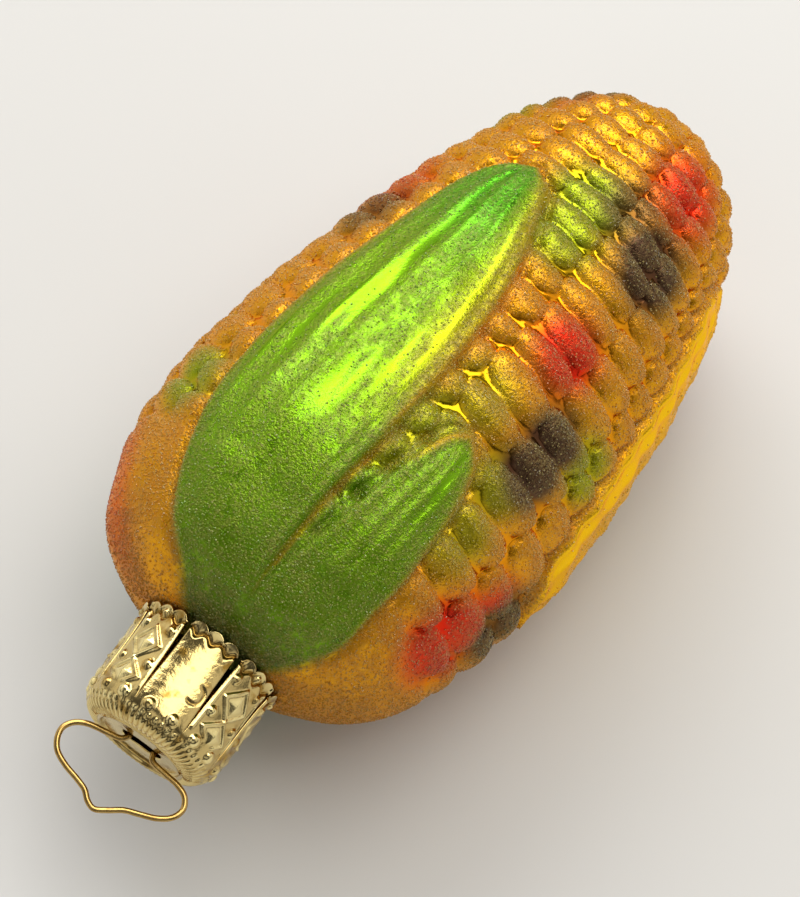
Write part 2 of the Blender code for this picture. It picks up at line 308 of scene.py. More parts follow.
def clear_glass_grains():
    """Crushed clear glass, sifted on wet varnish: tiny bright and dark glints."""
    material, tree, shader, coords = new_material("clear_glass_grains")
    tint = add_node(tree, "ShaderNodeAttribute", attribute_name="tint").outputs["Color"]
    clear = stretch(tree, mottle(tree, coords, 2400.0, 0.0), 0.35, 0.7, 0.08, 0.55)
    tree.links.new(blend(tree, clear, tint, srgb("#D2C078")), shader.inputs["Base Color"])
    set_inputs(shader, Roughness=0.18, IOR=1.5, Transmission_Weight=0.3, Specular_IOR_Level=0.35)
    return material


def gilt_stamping():
    """Thin stamped sheet, gilt and lacquered: bright on the raised work, dull in the hollows."""
    material, tree, shader, coords = new_material("gilt_stamping")
    set_inputs(shader, Metallic=1.0)
    stain = stretch(tree, mottle(tree, coords, 420.0, 4.0), 0.45, 0.7)
    worn = reckon(tree, "MAXIMUM", stored_value(tree, "recess"), stain)
    colour = blend(tree, worn, srgb("#F4E2A0"), srgb("#A8843C"))
    dents = mottle(tree, coords, 700.0, 4.0, 0.55)
    finish_surface(tree, shader, colour, stretch(tree, worn, 0.0, 1.0, 0.08, 0.2), dents, 0.00012, 0.6)
    return material


def drawn_brass_wire():
    """Drawn brass spring wire, bent by hand: bright with small bends and nicks."""
    material, tree, shader, coords = new_material("drawn_brass_wire")
    set_inputs(shader, Metallic=1.0)
    nicks = mottle(tree, coords, 1100.0, 3.0)
    colour = blend(tree, nicks, srgb("#D8B870"), srgb("#94703A"))
    finish_surface(tree, shader, colour, stretch(tree, nicks, 0.0, 1.0, 0.12, 0.3), nicks, 0.00004, 0.6)
    return material


def painted_table():
    """Satin painted table top, a warm white."""
    material, tree, shader, coords = new_material("painted_table")
    colour = blend(tree, mottle(tree, coords, 12.0, 2.0), srgb("#DEDEDD"), srgb("#D8D7D5"))
    tree.links.new(colour, shader.inputs["Base Color"])
    set_inputs(shader, Roughness=0.75, Specular_IOR_Level=0.2)
    return material


# ---- Geometry Nodes helpers --------------------------------------------------
def new_tree(name, floats=(), others=()):
    """A Geometry Nodes tree with a geometry input and named inputs."""
    tree = bpy.data.node_groups.new(name, "GeometryNodeTree")
    tree.interface.new_socket("Geometry", in_out="INPUT", socket_type="NodeSocketGeometry")
    tree.interface.new_socket("Geometry", in_out="OUTPUT", socket_type="NodeSocketGeometry")
    for label, value in floats:
        tree.interface.new_socket(label, in_out="INPUT", socket_type="NodeSocketFloat").default_value = value
    for label, kind in others:
        tree.interface.new_socket(label, in_out="INPUT", socket_type=kind)
    tree.is_modifier = True
    source = tree.nodes.new("NodeGroupInput")
    result = tree.nodes.new("NodeGroupOutput")
    return tree, source.outputs, result.inputs["Geometry"]


def finish_tree(tree, geometry, material, result):
    """Ends a tree: real geometry, with its material."""
    real = add_node(tree, "GeometryNodeRealizeInstances", {"Geometry": geometry})
    finished = add_node(tree, "GeometryNodeSetMaterial", {"Geometry": real.outputs["Geometry"],
                                                          "Material": material})
    tree.links.new(finished.outputs["Geometry"], result)


def face_outward(obj, weld=0.0):
    """Weld points that fall together and turn every face outward."""
    body = bmesh.new()
    body.from_mesh(obj.data)
    if weld:
        bmesh.ops.remove_doubles(body, verts=body.verts, dist=weld)
    bmesh.ops.recalc_face_normals(body, faces=body.faces)
    body.to_mesh(obj.data)
    body.free()


def baked(obj, tree, values, name):
    """Run a tree on an object and return the result as a plain mesh object."""
    modifier = obj.modifiers.new(tree.name, "NODES")
    modifier.node_group = tree
    for item in tree.interface.items_tree:
        if item.in_out == "INPUT" and item.name in values:
            modifier[item.identifier] = values[item.name]
    bpy.context.view_layer.update()
    depsgraph = bpy.context.evaluated_depsgraph_get()
    mesh = bpy.data.meshes.new_from_object(obj.evaluated_get(depsgraph), preserve_all_data_layers=True,
                                           depsgraph=depsgraph)
    obj.modifiers.remove(modifier)
    mesh.name = name
    piece = bpy.data.objects.new(name, mesh)
    bpy.context.scene.collection.objects.link(piece)
    return piece


def mesh_object(name, verts_mm, faces, attributes=None):
    """A mesh object from points in millimetres, with per-point attributes."""
    mesh = bpy.data.meshes.new(name)
    mesh.from_pydata((np.asarray(verts_mm) * MM).tolist(), [], [list(map(int, f)) for f in faces])
    for label, values in (attributes or {}).items():
        values = np.asarray(values, dtype=np.float32)
        kind = "FLOAT_VECTOR" if values.ndim == 2 else "FLOAT"
        layer = mesh.attributes.new(label, kind, "POINT")
        layer.data.foreach_set("vector" if values.ndim == 2 else "value", values.ravel())
    mesh.shade_smooth()
    obj = bpy.data.objects.new(name, mesh)
    bpy.context.scene.collection.objects.link(obj)
    return obj


def grid_faces(rows, columns, closed=True, start=0):
    """Quads over a grid of points that is stored row by row."""
    across = columns if closed else columns - 1
    i = np.arange(rows - 1)[:, None] * columns
    j = np.arange(across)[None, :]
    j2 = (j + 1) % columns
    quads = np.stack([i + j, i + j2, i + columns + j2, i + columns + j], axis=-1)
    return (quads.reshape(-1, 4) + start).tolist()


def read_points(mesh):
    """The mesh's points, in metres."""
    co = np.empty(len(mesh.vertices) * 3)
    mesh.vertices.foreach_get("co", co)
    return co.reshape(-1, 3)


def read_values(mesh, label):
    """A value stored on every point."""
    values = np.empty(len(mesh.vertices), dtype=np.float32)
    mesh.attributes[label].data.foreach_get("value", values)
    return values


def store_values(mesh, label, values):
    """Stores a value on every point."""
    layer = mesh.attributes.new(label, "FLOAT", "POINT")
    layer.data.foreach_set("value", values.astype(np.float32))


def drop_values(mesh, labels):
    """Removes stored values that are no longer needed."""
    for label in [a.name for a in mesh.attributes if a.name in labels]:
        mesh.attributes.remove(mesh.attributes[label])


# ---- Glass body --------------------------------------------------------------
def kernel_count(depth):
    """How many kernels lie between the first ring and a depth."""
    table = np.linspace(KERNELS_START, TIP_DEPTH, 600)
    pitch = KERNEL_PITCH_BASE - (KERNEL_PITCH_BASE - KERNEL_PITCH_TIP) * smooth_step(35.0, 95.0, table)
    steps = np.diff(table) / ((pitch[1:] + pitch[:-1]) / 2)
    return np.interp(depth, table, np.concatenate([[0.0], np.cumsum(steps)]))


def turn_between(turn, middle):
    """Signed turn from a middle line, -180 to 180 degrees."""
    return (turn - middle + 180.0) % 360.0 - 180.0


def leaf_fields(depth, turn, radius):
    """For every point: distance inside the nearest leaf's edge (mm), place across it, and which leaf."""
    edge = np.full(depth.shape, -50.0)
    across = np.zeros(depth.shape)
    which = np.full(depth.shape, -1)
    for index, stations in enumerate(LEAVES.values()):
        smooth = spline(stations, 8)
        middle = np.interp(depth, smooth[:, 0], smooth[:, 1])
        half = np.interp(depth, smooth[:, 0], smooth[:, 2])
        away = turn_between(turn, middle)
        inside = (half - np.abs(away)) * np.radians(1.0) * radius
        slope = np.abs(np.gradient(half * np.radians(1.0) * radius, axis=0) / np.maximum(
            np.gradient(depth, axis=0), 1e-3))
        inside = inside / np.sqrt(1.0 + np.minimum(slope, 4.0) ** 2)
        beyond = np.maximum(depth - stations[-1][0], stations[0][0] - depth)
        inside = np.where(beyond > 0, -beyond - np.abs(away) * np.radians(1.0) * radius, inside)
        nearer = inside > edge
        edge = np.where(nearer, inside, edge)
        across = np.where(nearer, away / np.maximum(half, 1.0), across)
        which = np.where(nearer, index, which)
    return edge, across, which


def spray(patches, depth, turn, radius):
    """Soft-edged cover of a list of sprayed patches."""
    total = np.zeros(depth.shape)
    for where, angle, spread, strength in patches:
        side = turn_between(turn, angle) * np.radians(1.0) * radius
        distance = np.sqrt((depth - where) ** 2 + side ** 2) / spread
        total = np.maximum(total, strength * np.exp(-0.5 * distance ** 4))
    return np.clip(total, 0.0, 1.0)


def ripple(depth, turn, seed, count=18, fine=1.0):
    """Smooth unevenness of hand-blown glass, from a few seeded waves; about -1 to 1."""
    rng = np.random.default_rng(seed)
    total = np.zeros(depth.shape)
    for _ in range(count):
        lengthwise = rng.normal(0, 0.35 * fine)
        cycles = rng.integers(-9, 10) * max(1, round(fine))
        total += np.sin(lengthwise * depth + np.radians(turn) * cycles + rng.uniform(0, 2 * math.pi))
    return total / math.sqrt(count)


def press_kernels_tree():
    """Raises a dome over every kernel's cell and stores how near its rim each point is."""
    tree, given, result = new_tree("press_kernels", [
        ("Relief", KERNEL_RELIEF), ("Kernel Length", 1.02), ("Kernel Width", 1.2), ("Roundness", 2.2),
        ("Dome Power", 0.6), ("Crest Lean", 0.28)], [("Glass", "NodeSocketMaterial")])

    def attribute(label, kind="FLOAT"):
        return add_node(tree, "GeometryNodeInputNamedAttribute", {"Name": label},
                        data_type=kind).outputs["Attribute"]

    def power_of(value, size):
        share = reckon(tree, "DIVIDE", reckon(tree, "ABSOLUTE", value), given[size])
        return reckon(tree, "POWER", share, given["Roundness"])

    along = attribute("along")
    lean = reckon(tree, "SUBTRACT", reckon(tree, "MULTIPLY", along, along), 1.0)
    along = reckon(tree, "ADD", along, reckon(tree, "MULTIPLY", lean, given["Crest Lean"]))
    lengthwise = power_of(along, "Kernel Length")
    both = reckon(tree, "ADD", lengthwise, power_of(attribute("across"), "Kernel Width"))
    rim = reckon(tree, "POWER", both, reckon(tree, "DIVIDE", 1.0, given["Roundness"]))
    fall = reckon(tree, "POWER", reckon(tree, "MINIMUM", rim, 1.0), 2.2)
    dome = reckon(tree, "POWER", reckon(tree, "SUBTRACT", 1.0, fall), given["Dome Power"])
    sunk = reckon(tree, "MULTIPLY", reckon(tree, "SUBTRACT", dome, 1.0), given["Relief"])
    sunk = reckon(tree, "MULTIPLY", sunk, attribute("kernel_share"))
    height = reckon(tree, "ADD", reckon(tree, "MULTIPLY", sunk, MM), attribute("smooth_height"))
    outward = attribute("outward", "FLOAT_VECTOR")
    offset = add_node(tree, "ShaderNodeVectorMath", {0: outward, "Scale": height}, operation="SCALE")
    moved = add_node(tree, "GeometryNodeSetPosition", {"Geometry": given["Geometry"],
                                                       "Offset": offset.outputs[0]})
    stored = add_node(tree, "GeometryNodeStoreNamedAttribute", {
        "Geometry": moved.outputs["Geometry"], "Name": "rim", "Value": rim},
        data_type="FLOAT", domain="POINT")
    finish_tree(tree, stored.outputs["Geometry"], given["Glass"], result)
    return tree


def ring_depths(outline, arc):
    """Depths of the rings of points: even on the husk, a fixed number to each kernel, even at the tip."""
    husk_arc = np.interp(KERNELS_START, outline[:, 0], arc)
    husk = np.interp(np.linspace(0.0, husk_arc, HUSK_RINGS)[:-1], arc, outline[:, 0])
    table = np.linspace(KERNELS_START, TIP_DEPTH, 4000)
    counts = kernel_count(table)
    kernels = np.interp(np.arange(0.0, counts[-1], 1.0 / RINGS_PER_KERNEL), counts, table)
    kernels = kernels[kernels < KERNELS_END]
    tip_arc = np.interp(kernels[-1], outline[:, 0], arc)
    tip = np.interp(np.linspace(tip_arc, arc[-1], TIP_RINGS)[1:-1], arc, outline[:, 0])
    return np.concatenate([husk, kernels, tip])


def kernel_cells(depth, turn):
    """Place along and across the kernel's cell (-1 to 1), staggered row by row, and a chance value."""
    row_place = (turn - ROW_TURN) / ROW_WIDTH + 0.05 * ripple(depth, turn, SEED_ROWS, 14)
    row = np.floor(row_place).astype(int) % ROWS
    kernel_place = kernel_count(depth) - np.array(ROW_SHIFTS)[row]
    kernel_place = kernel_place + 0.06 * ripple(depth, turn, SEED_KERNELS, 14)
    cell = np.floor(kernel_place)
    chance = np.sin(cell * 12.9898 + row * 78.233) * 43758.5453
    along = 2.0 * (kernel_place - cell) - 1.0
    across = 2.0 * (row_place - np.floor(row_place)) - 1.0
    return along, across, chance - np.floor(chance)


def leaf_streaks(depth, edge, across_leaf):
    """Bare glossy streaks that run down a leaf between its veins."""
    total = sum(np.sin(k * across_leaf + 0.09 * (j - 2) * depth + 2.4 * j)
                for j, k in enumerate((5, 8, 13, 19, 27)))
    return smooth_step(0.5, 1.6, total) * smooth_step(0.8, 2.4, edge) * smooth_step(27.0, 40.0, depth)


def smooth_relief(depth, turn, edge, across_leaf, leaf, gold_leaf, husk, tip_fade):
    """Height in mm of leaves and veins, of the creases beside them, and of the glass's own unevenness."""
    veins = np.abs(np.sin(math.pi * (2.6 * across_leaf + 0.05 * ripple(depth, turn, SEED_VEINS, 6))))
    veins = 0.3 * (1.0 - veins ** 0.8) * smooth_step(0.6, 2.2, edge) * smooth_step(16.0, 34.0, depth)
    crown = 0.25 * smooth_step(0.0, 4.0, edge)
    leaf_rim = 0.16 * hump(edge, 0.45, 0.4)
    crease = -0.62 * hump(edge, -0.7, 0.55) * smooth_step(15.0, 22.0, depth)
    folds = 0.3 * ripple(depth, turn, SEED_FOLDS, 10, 1.4) * husk * smooth_step(13.5, 18.0, depth)
    lumps = 0.12 * ripple(depth, turn, SEED_LUMPS, 14) + gold_leaf * leaf * (
        0.14 * np.sin(1.5 * depth + 0.2 * turn) + 0.12 * ripple(depth, turn, SEED_GOLD_LEAF, 10, 2.0))
    return (leaf * (LEAF_RISE + veins + crown) + leaf_rim * smooth_step(14.0, 20.0, depth)
            + crease + folds + lumps * smooth_step(14.0, 20.0, depth) * tip_fade)


def outline_normals(outline, arc, depth, turn):
    """The outline's own normals, so that relief stands square to the glass."""
    here = np.interp(depth, outline[:, 0], arc)
    slope_depth = np.interp(here, arc, np.gradient(outline[:, 0], arc))
    slope_radius = np.interp(here, arc, np.gradient(outline[:, 1], arc))
    outward = around(turn) * slope_depth[..., None]
    outward[..., 0] -= slope_radius
    return outward / np.linalg.norm(outward, axis=-1, keepdims=True)


def lacquer_masks(depth, turn, radius, edge, across_leaf, which, leaf):
    """How thickly each lacquer of LACQUERS lies on every point; "neck" is painted shade beside the cap."""
    gold_leaf = which == GOLD_LEAF
    overspray = 1.0 - smooth_step(22.0, 52.0, depth)
    green_leaf = smooth_step(-0.25, 0.35, (edge + 0.4 * overspray) / (1.0 + 3.0 * overspray)) * ~gold_leaf
    from_front = np.abs(turn_between(turn, 18.0))
    neck_green = (1.0 - smooth_step(12.0, 19.0, depth)) * (1.0 - smooth_step(26.0, 44.0, from_front))
    wedge_green = (1.0 - smooth_step(33.0, 42.0, depth)) * (1.0 - smooth_step(9.0, 14.0, from_front))
    crease_line = hump(edge, -0.45, 0.5) * smooth_step(14.0, 20.0, depth) * (which == LARGE_LEAF)
    base_green = np.maximum(neck_green, wedge_green) * (1.0 - 0.8 * crease_line)
    lower_border = smooth_step(0.3, 0.95, across_leaf) * smooth_step(34.0, 52.0, depth)
    bare_edge = 0.8 * (1.0 - overspray) * hump(edge, 0.1, 0.5)
    return {
        "leaf": np.clip(green_leaf * (1.0 - bare_edge) + base_green, 0.0, 1.0),
        "leaf_tip": 0.6 * green_leaf * smooth_step(54.0, 70.0, depth),
        "leaf_border": 0.75 * green_leaf * (which == LARGE_LEAF) * lower_border,
        "gold": leaf * gold_leaf,
        # Painted shade: dark olive on the glass right by the cap, for the cap's shadow and its dark
        # reflection.
        "neck": 0.85 * neck_green * (1.0 - smooth_step(13.5, 18.0, depth)),
        "red": spray(RED_SPRAY, depth, turn, radius) * (1.0 - leaf),
        "green": spray(GREEN_SPRAY, depth, turn, radius) * (1.0 - leaf),
        "violet": spray(VIOLET_SPRAY, depth, turn, radius) * (1.0 - leaf)}


def close_glass(verts, outline, turn_line, rows):
    """Adds the tip's point, the neck, its rim and the smooth inner wall; returns points and faces."""
    columns = len(turn_line)
    faces = grid_faces(rows, columns)
    neck_depths = np.array([MOUTH_DEPTH, 4.5, 8.0])
    neck_start = len(verts)
    neck = cap_place(neck_depths[:, None], NECK_RADIUS, turn_line[None]).reshape(-1, 3)
    faces += grid_faces(len(neck_depths), columns, start=neck_start)
    last = neck_start + (len(neck_depths) - 1) * columns
    faces += [(last + i, last + (i + 1) % columns, (i + 1) % columns, i) for i in range(columns)]
    pole = neck_start + len(neck)
    verts = np.vstack([verts, neck, body_place(TIP_DEPTH, 0.0, 0.0)[None]])
    top = (rows - 1) * columns
    faces += [(top + i, top + (i + 1) % columns, pole) for i in range(columns)]

    step = COLUMNS_PER_ROW // 2
    depths = np.array([MOUTH_DEPTH, 4.5, 9.0, 12.0, 15.0, 18.0, 24.0, 32.0, 44.0, 58.0, 70.0, 80.0, 87.0,
                       91.0])[:, None]
    radii = np.interp(depths - 0.5, outline[:, 0], outline[:, 1], left=NECK_RADIUS)
    radii = radii - np.where(depths < SHOULDER_DEPTH, WALL, WALL_WITH_RELIEF)
    turns = turn_line[None, ::step]
    in_neck = (depths < 10.0)[..., None]
    wall = np.where(in_neck, cap_place(depths, radii, turns), body_place(depths, radii, turns))
    start = len(verts)
    inner = turns.shape[1]
    verts = np.vstack([verts, wall.reshape(-1, 3), body_place(INNER_TIP_DEPTH, 0.0, 0.0)[None]])
    faces += [face[::-1] for face in grid_faces(len(depths), inner, start=start)]
    end = start + (len(depths) - 1) * inner
    faces += [(end + (i + 1) % inner, end + i, len(verts) - 1) for i in range(inner)]
    for i in range(inner):
        outer = [neck_start + (i * step + k) % columns for k in range(step + 1)]
        near, far, middle = start + i, start + (i + 1) % inner, step // 2
        faces += [(near, outer[k + 1], outer[k]) for k in range(middle)]
        faces += [(far, outer[k + 1], outer[k]) for k in range(middle, step)]
        faces.append((near, far, outer[middle]))
    return verts, faces


def lie_flat(glass):
    """Press the leaf underneath flat where the ornament lies on the table."""
    co = read_points(glass.data)
    over = co[:, 2] - GLASS_LOW.z
    co[:, 2] = GLASS_LOW.z + (over + np.sqrt(over ** 2 + (0.08 * MM) ** 2)) / 2
    glass.data.vertices.foreach_set("co", co.ravel())


def stick_frost(mesh):
    """Stores where grains stick: thick on rims and husk edges, thin in grooves and on smooth veins."""
    edge, depth = read_values(mesh, "edge"), read_values(mesh, "depth")
    rim, started, gold = read_values(mesh, "rim"), read_values(mesh, "started"), read_values(mesh, "gold")
    on_leaf = smooth_step(-0.25, 0.35, edge)
    kernel_frost = 0.4 + 0.6 * smooth_step(-0.5, 0.5, read_values(mesh, "along"))
    kernel_frost = kernel_frost * (1 - smooth_step(0.92, 1.0, rim)) * started
    kernel_frost += (1 - started) * (0.62 - 0.25 * read_values(mesh, "folds"))
    leaf_frost = 0.62 + 0.38 * hump(edge, 0.3, 1.5)
    leaf_frost = np.maximum(leaf_frost, 0.8 * (1 - smooth_step(20.0, 34.0, depth)))
    leaf_frost *= 1 - 0.85 * read_values(mesh, "streak")
    leaf_frost *= 1 - 0.95 * smooth_step(0.3, 0.8, gold) * (1 - smooth_step(3.0, 5.0, edge))
    frost = kernel_frost * (1 - on_leaf) + leaf_frost * on_leaf
    frost[depth < NECK_END] = 0
    frost *= smooth_step(0.25, 0.6, (read_points(mesh)[:, 2] - GLASS_LOW.z) / MM)
    beside_leaf = hump(edge, -0.7, 0.8) * (depth > 16.0) * (1 - gold)
    frost = np.maximum(frost, 0.85 * beside_leaf)
    bare_leaf = on_leaf * smooth_step(24.0, 44.0, depth)
    store_values(mesh, "frost", frost)
    store_values(mesh, "groove", smooth_step(0.92, 1.0, rim) * (1 - on_leaf) * started)
    store_values(mesh, "grain_cover", frost * (1 - 0.65 * bare_leaf))


def tint_for_grains(mesh):
    """Stores the lacquers' mixed colour, with the painted shade by the cap, which the clear grains over it
    take on.
    """
    tint = np.tile(srgb(GROUND_LACQUERS[1]), (len(mesh.vertices), 1))
    for label, hex_colour in LACQUERS:
        tint += (np.array(srgb(hex_colour)) - tint) * read_values(mesh, label)[:, None]
    layer = mesh.attributes.new("tint", "FLOAT_COLOR", "POINT")
    layer.data.foreach_set("color", tint.ravel())


def make_glass_body(material):
    """The whole glass: its grid of points, the lacquers on them, and the pressed kernels."""
    outline = spline(BODY_OUTLINE, 24)
    arc = arc_lengths(outline)
    columns = ROWS * COLUMNS_PER_ROW
    turn_line = ROW_TURN + 360.0 * np.arange(columns) / columns
    depth, turn = np.meshgrid(ring_depths(outline, arc), turn_line, indexing="ij")
    radius = np.interp(depth, outline[:, 0], outline[:, 1])
    edge, across_leaf, which = leaf_fields(depth, turn, np.maximum(radius, 6.0))
    along, across, chance = kernel_cells(depth, turn)
    leaf = smooth_step(-0.25, 0.35, edge)
    started = smooth_step(24.0, 27.5, depth + 1.2 * ripple(depth, turn, SEED_FIRST_RING, 8))
    tip_fade = smooth_step(2.0, 8.0, radius)
    height = smooth_relief(depth, turn, edge, across_leaf, leaf, which == GOLD_LEAF, 1.0 - started, tip_fade)
    values = {
        "along": along, "across": across, "edge": edge, "started": started, "depth": depth,
        "kernel_share": smooth_step(0.0, 0.9, -edge) * started * tip_fade * (0.85 + 0.3 * chance),
        "smooth_height": height * MM, "outward": outline_normals(outline, arc, depth, turn),
        "streak": leaf_streaks(depth, edge, across_leaf),
        "folds": np.clip(ripple(depth, turn, SEED_FOLDS, 10, 1.4), -1.0, 1.0),
        **lacquer_masks(depth, turn, radius, edge, across_leaf, which, leaf)}
    verts, faces = close_glass(body_place(depth, radius, turn).reshape(-1, 3), outline, turn_line, len(depth))
    extra = len(verts) - depth.size
    stored = {label: np.concatenate([value.reshape(depth.size, *value.shape[2:]),
                                     np.zeros((extra, *value.shape[2:]))]) for label, value in values.items()}
    blank = mesh_object("glass_blank", verts, faces, stored)
    glass = baked(blank, press_kernels_tree(), {"Relief": KERNEL_RELIEF, "Glass": material}, "corn_cob_glass")
    bpy.data.objects.remove(blank)
    lie_flat(glass)
    face_outward(glass)
    stick_frost(glass.data)
    tint_for_grains(glass.data)
    drop_values(glass.data, ("along", "across", "kernel_share", "smooth_height", "outward", "streak",
                             "started", "folds"))
    return glass


# ---- Grains ------------------------------------------------------------------
def scatter_grains_tree():
    """Sifts grains over the glass, as thick as its grain cover says."""
    tree, given, result = new_tree("scatter_grains", [
        ("Grains Per Square Metre", 1.0e7), ("Grain Size", 0.00026), ("From Turn", 0.0), ("To Turn", 1.0)],
        [("Grain", "NodeSocketObject"), ("Glass", "NodeSocketMaterial")])
    cover, sector = (add_node(tree, "GeometryNodeInputNamedAttribute", {"Name": label},
                              data_type="FLOAT").outputs["Attribute"] for label in ("grain_cover", "sector"))
    chosen = reckon(tree, "MULTIPLY", reckon(tree, "GREATER_THAN", sector, given["From Turn"]),
                    reckon(tree, "LESS_THAN", sector, given["To Turn"]))
    points = add_node(tree, "GeometryNodeDistributePointsOnFaces", {
        "Mesh": given["Geometry"], "Selection": chosen, "Seed": SEED,
        "Density": reckon(tree, "MULTIPLY", cover, given["Grains Per Square Metre"])},
        distribute_method="RANDOM")
    grain = add_node(tree, "GeometryNodeObjectInfo", {"Object": given["Grain"]})
    spin = add_node(tree, "FunctionNodeRandomValue", {"Min": (0.0, 0.0, 0.0), "Max": (6.28, 6.28, 6.28),
                                                      "Seed": SEED + 1}, data_type="FLOAT_VECTOR")
    size = add_node(tree, "FunctionNodeRandomValue", {2: 0.65, 3: 1.35, "Seed": SEED + 2}, data_type="FLOAT")
    placed = add_node(tree, "GeometryNodeInstanceOnPoints", {
        "Points": points.outputs["Points"], "Instance": grain.outputs["Geometry"],
        "Rotation": spin.outputs["Value"],
        "Scale": reckon(tree, "MULTIPLY", size.outputs[1], given["Grain Size"])})
    finish_tree(tree, placed.outputs["Instances"], given["Glass"], result)
    return tree


def make_grains(glass, material):
    """Four patches of grains, so that no piece grows too heavy."""
    corners = [(0.5, 0, 0), (-0.5, 0, 0), (0, 0.5, 0), (0, -0.5, 0), (0, 0, 0.5), (0, 0, -0.5)]
    sides = [(0, 2, 4), (2, 1, 4), (1, 3, 4), (3, 0, 4), (2, 0, 5), (1, 2, 5), (3, 1, 5), (0, 3, 5)]
    shape = bpy.data.meshes.new("grain")
    shape.from_pydata(corners, [], sides)
    grain = bpy.data.objects.new("grain", shape)
    bpy.context.scene.collection.objects.link(grain)
    co = read_points(glass.data) / MM
    sector = (np.degrees(np.arctan2(-(co[:, 1] - AXIS_Y), co[:, 2] - AXIS_Z)) % 360.0) / 90.0
    store_values(glass.data, "sector", sector)
    tree = scatter_grains_tree()
    kept_on_glass = [a.name for a in glass.data.attributes if a.data_type == "FLOAT"]
    pieces = []
    for quarter, label in enumerate(("top_front", "under_front", "under_back", "top_back")):
        given = {"From Turn": float(quarter), "To Turn": quarter + 1.0, "Grain": grain, "Glass": material}
        piece = baked(glass, tree, given, f"sugar_grains_{label}")
        drop_values(piece.data, kept_on_glass)
        pieces.append(piece)
    bpy.data.objects.remove(grain)
    drop_values(glass.data, ("sector",))
    return pieces


# ---- Crown cap ---------------------------------------------------------------
PETALS = 8
PETAL_TURN = -10.4
SECTOR_ROWS, SECTOR_COLUMNS = 92, 48
BEADS = 7
FACE_PROFILE = [(4.85, 0.5), (5.15, 0.48), (5.28, 0.15), (5.45, 0.0), (5.62, 0.12), (5.75, 0.22), (6.4, 0.26),
                (6.9, 0.42), (7.5, 0.8), (7.95, 1.4), (8.3, 2.1), (8.45, 3.2), (8.5, 5.0), (8.5, 8.0),
                (8.6, 10.8), (8.8, 12.6), (9.0, 13.5)]
SHEET = 0.22
FACE_END = 1.6
SLIT_START, LOBE_START = 2.3, 12.3
PETAL_GAP = 0.38
WIRE_TURN = 102.6
SLOT_HALF_LENGTH, SLOT_HALF_WIDTH = 2.5, 1.05


def dimple(x, y, at_x, at_y, size):
    """A round pressed bead, 1 at its top and 0 from `size` mm outward."""
    distance = np.hypot(x - at_x, y - at_y) / size
    return np.sqrt(np.clip(1.0 - distance ** 2, 0.0, 1.0))


def cap_sector(name, embossed):
    """One eighth of the cap, from the raised ring to the end of its petal."""
    profile = spline(FACE_PROFILE, 10)
    arc = arc_lengths(profile)
    q = np.linspace(0.0, arc[-1], SECTOR_ROWS)
    share = np.linspace(0.0, 1.0, SECTOR_COLUMNS + 1)
    q, share = np.meshgrid(q, share, indexing="ij")
    depth = np.interp(q, arc, profile[:, 1])
    radius = np.interp(q, arc, profile[:, 0])
    side = (share - 0.5) * np.radians(45.0) * radius          # mm across the petal
    wide = np.radians(22.5) * radius

    flutes = np.abs(np.sin(8 * math.pi * share)) ** 0.8
    on_flutes = smooth_step(5.7, 5.85, radius) * (1 - smooth_step(0.95, 1.15, depth)) * (depth < 2)
    relief = 0.2 * (flutes - 0.5) * on_flutes
    for k in range(BEADS):
        place = (k + 0.5 - BEADS / 2) / BEADS * 2 * wide
        relief += 0.2 * dimple(side, depth, place, 1.5, 0.32) * (radius > 7)
    for sign in (-1, 1):
        relief += 0.45 * dimple(side, depth, sign * 1.6, 2.6, 0.75) * (radius > 7)
    on_petal = smooth_step(3.2, 3.6, depth)
    if embossed:
        for sign in (-1, 1):
            for at in (6.4, 10.9):
                relief += 0.4 * dimple(side, depth, sign * 2.3, at, 0.62)
        for middle, half in ((4.5, 1.85), (8.65, 2.1)):
            lozenge = np.abs(depth - middle) / half + np.abs(side) / 2.1
            relief += 0.26 * hump(lozenge, 1.0, 0.14) * on_petal
            relief += 0.45 * np.clip(0.85 - lozenge, 0.0, 1.0) * on_petal
        relief += 0.16 * hump(wide - np.abs(side), 0.35, 0.16) * on_petal
        relief += 0.3 * dimple(side, depth, 0.0, 12.4, 0.5)
    else:
        dent = hump(np.hypot(side - 1.9, depth - 6.5), 1.1, 0.16)
        relief -= 0.12 * dent * smooth_step(-0.3, 0.5, side - 1.6 - 0.3 * (depth - 6.5)) * on_petal
    relief -= 0.28 * hump(depth - 0.35 * np.cos(6 * math.pi * share), LOBE_START, 0.3)
    lobe = np.abs(np.sin(3 * math.pi * share)) ** 0.6
    lobe_share = smooth_step(LOBE_START, 13.4, depth)
    depth = depth - lobe_share * 0.75 * (1 - lobe)
    relief += 0.12 * lobe_share * lobe

    opened = np.clip((depth - SLIT_START) / (LOBE_START - SLIT_START), 0.0, 1.1)
    gap = np.degrees(PETAL_GAP * opened / radius)
    turn = PETAL_TURN + gap + (45.0 - 2 * gap) * share
    places = cap_place(depth, radius + relief * (depth > FACE_END), turn)
    places = places + np.where(depth > FACE_END, 0.0, relief)[..., None] * (
        cap_place(0.0, 0.0, 0.0) - cap_place(1.0, 0.0, 0.0))
    rows, columns = q.shape
    recess = np.clip(0.55 - relief * 3.0, 0.0, 1.0)
    faces = grid_faces(rows, columns, closed=False)
    return mesh_object(name, places.reshape(-1, 3), faces, {"recess": recess.reshape(-1)})


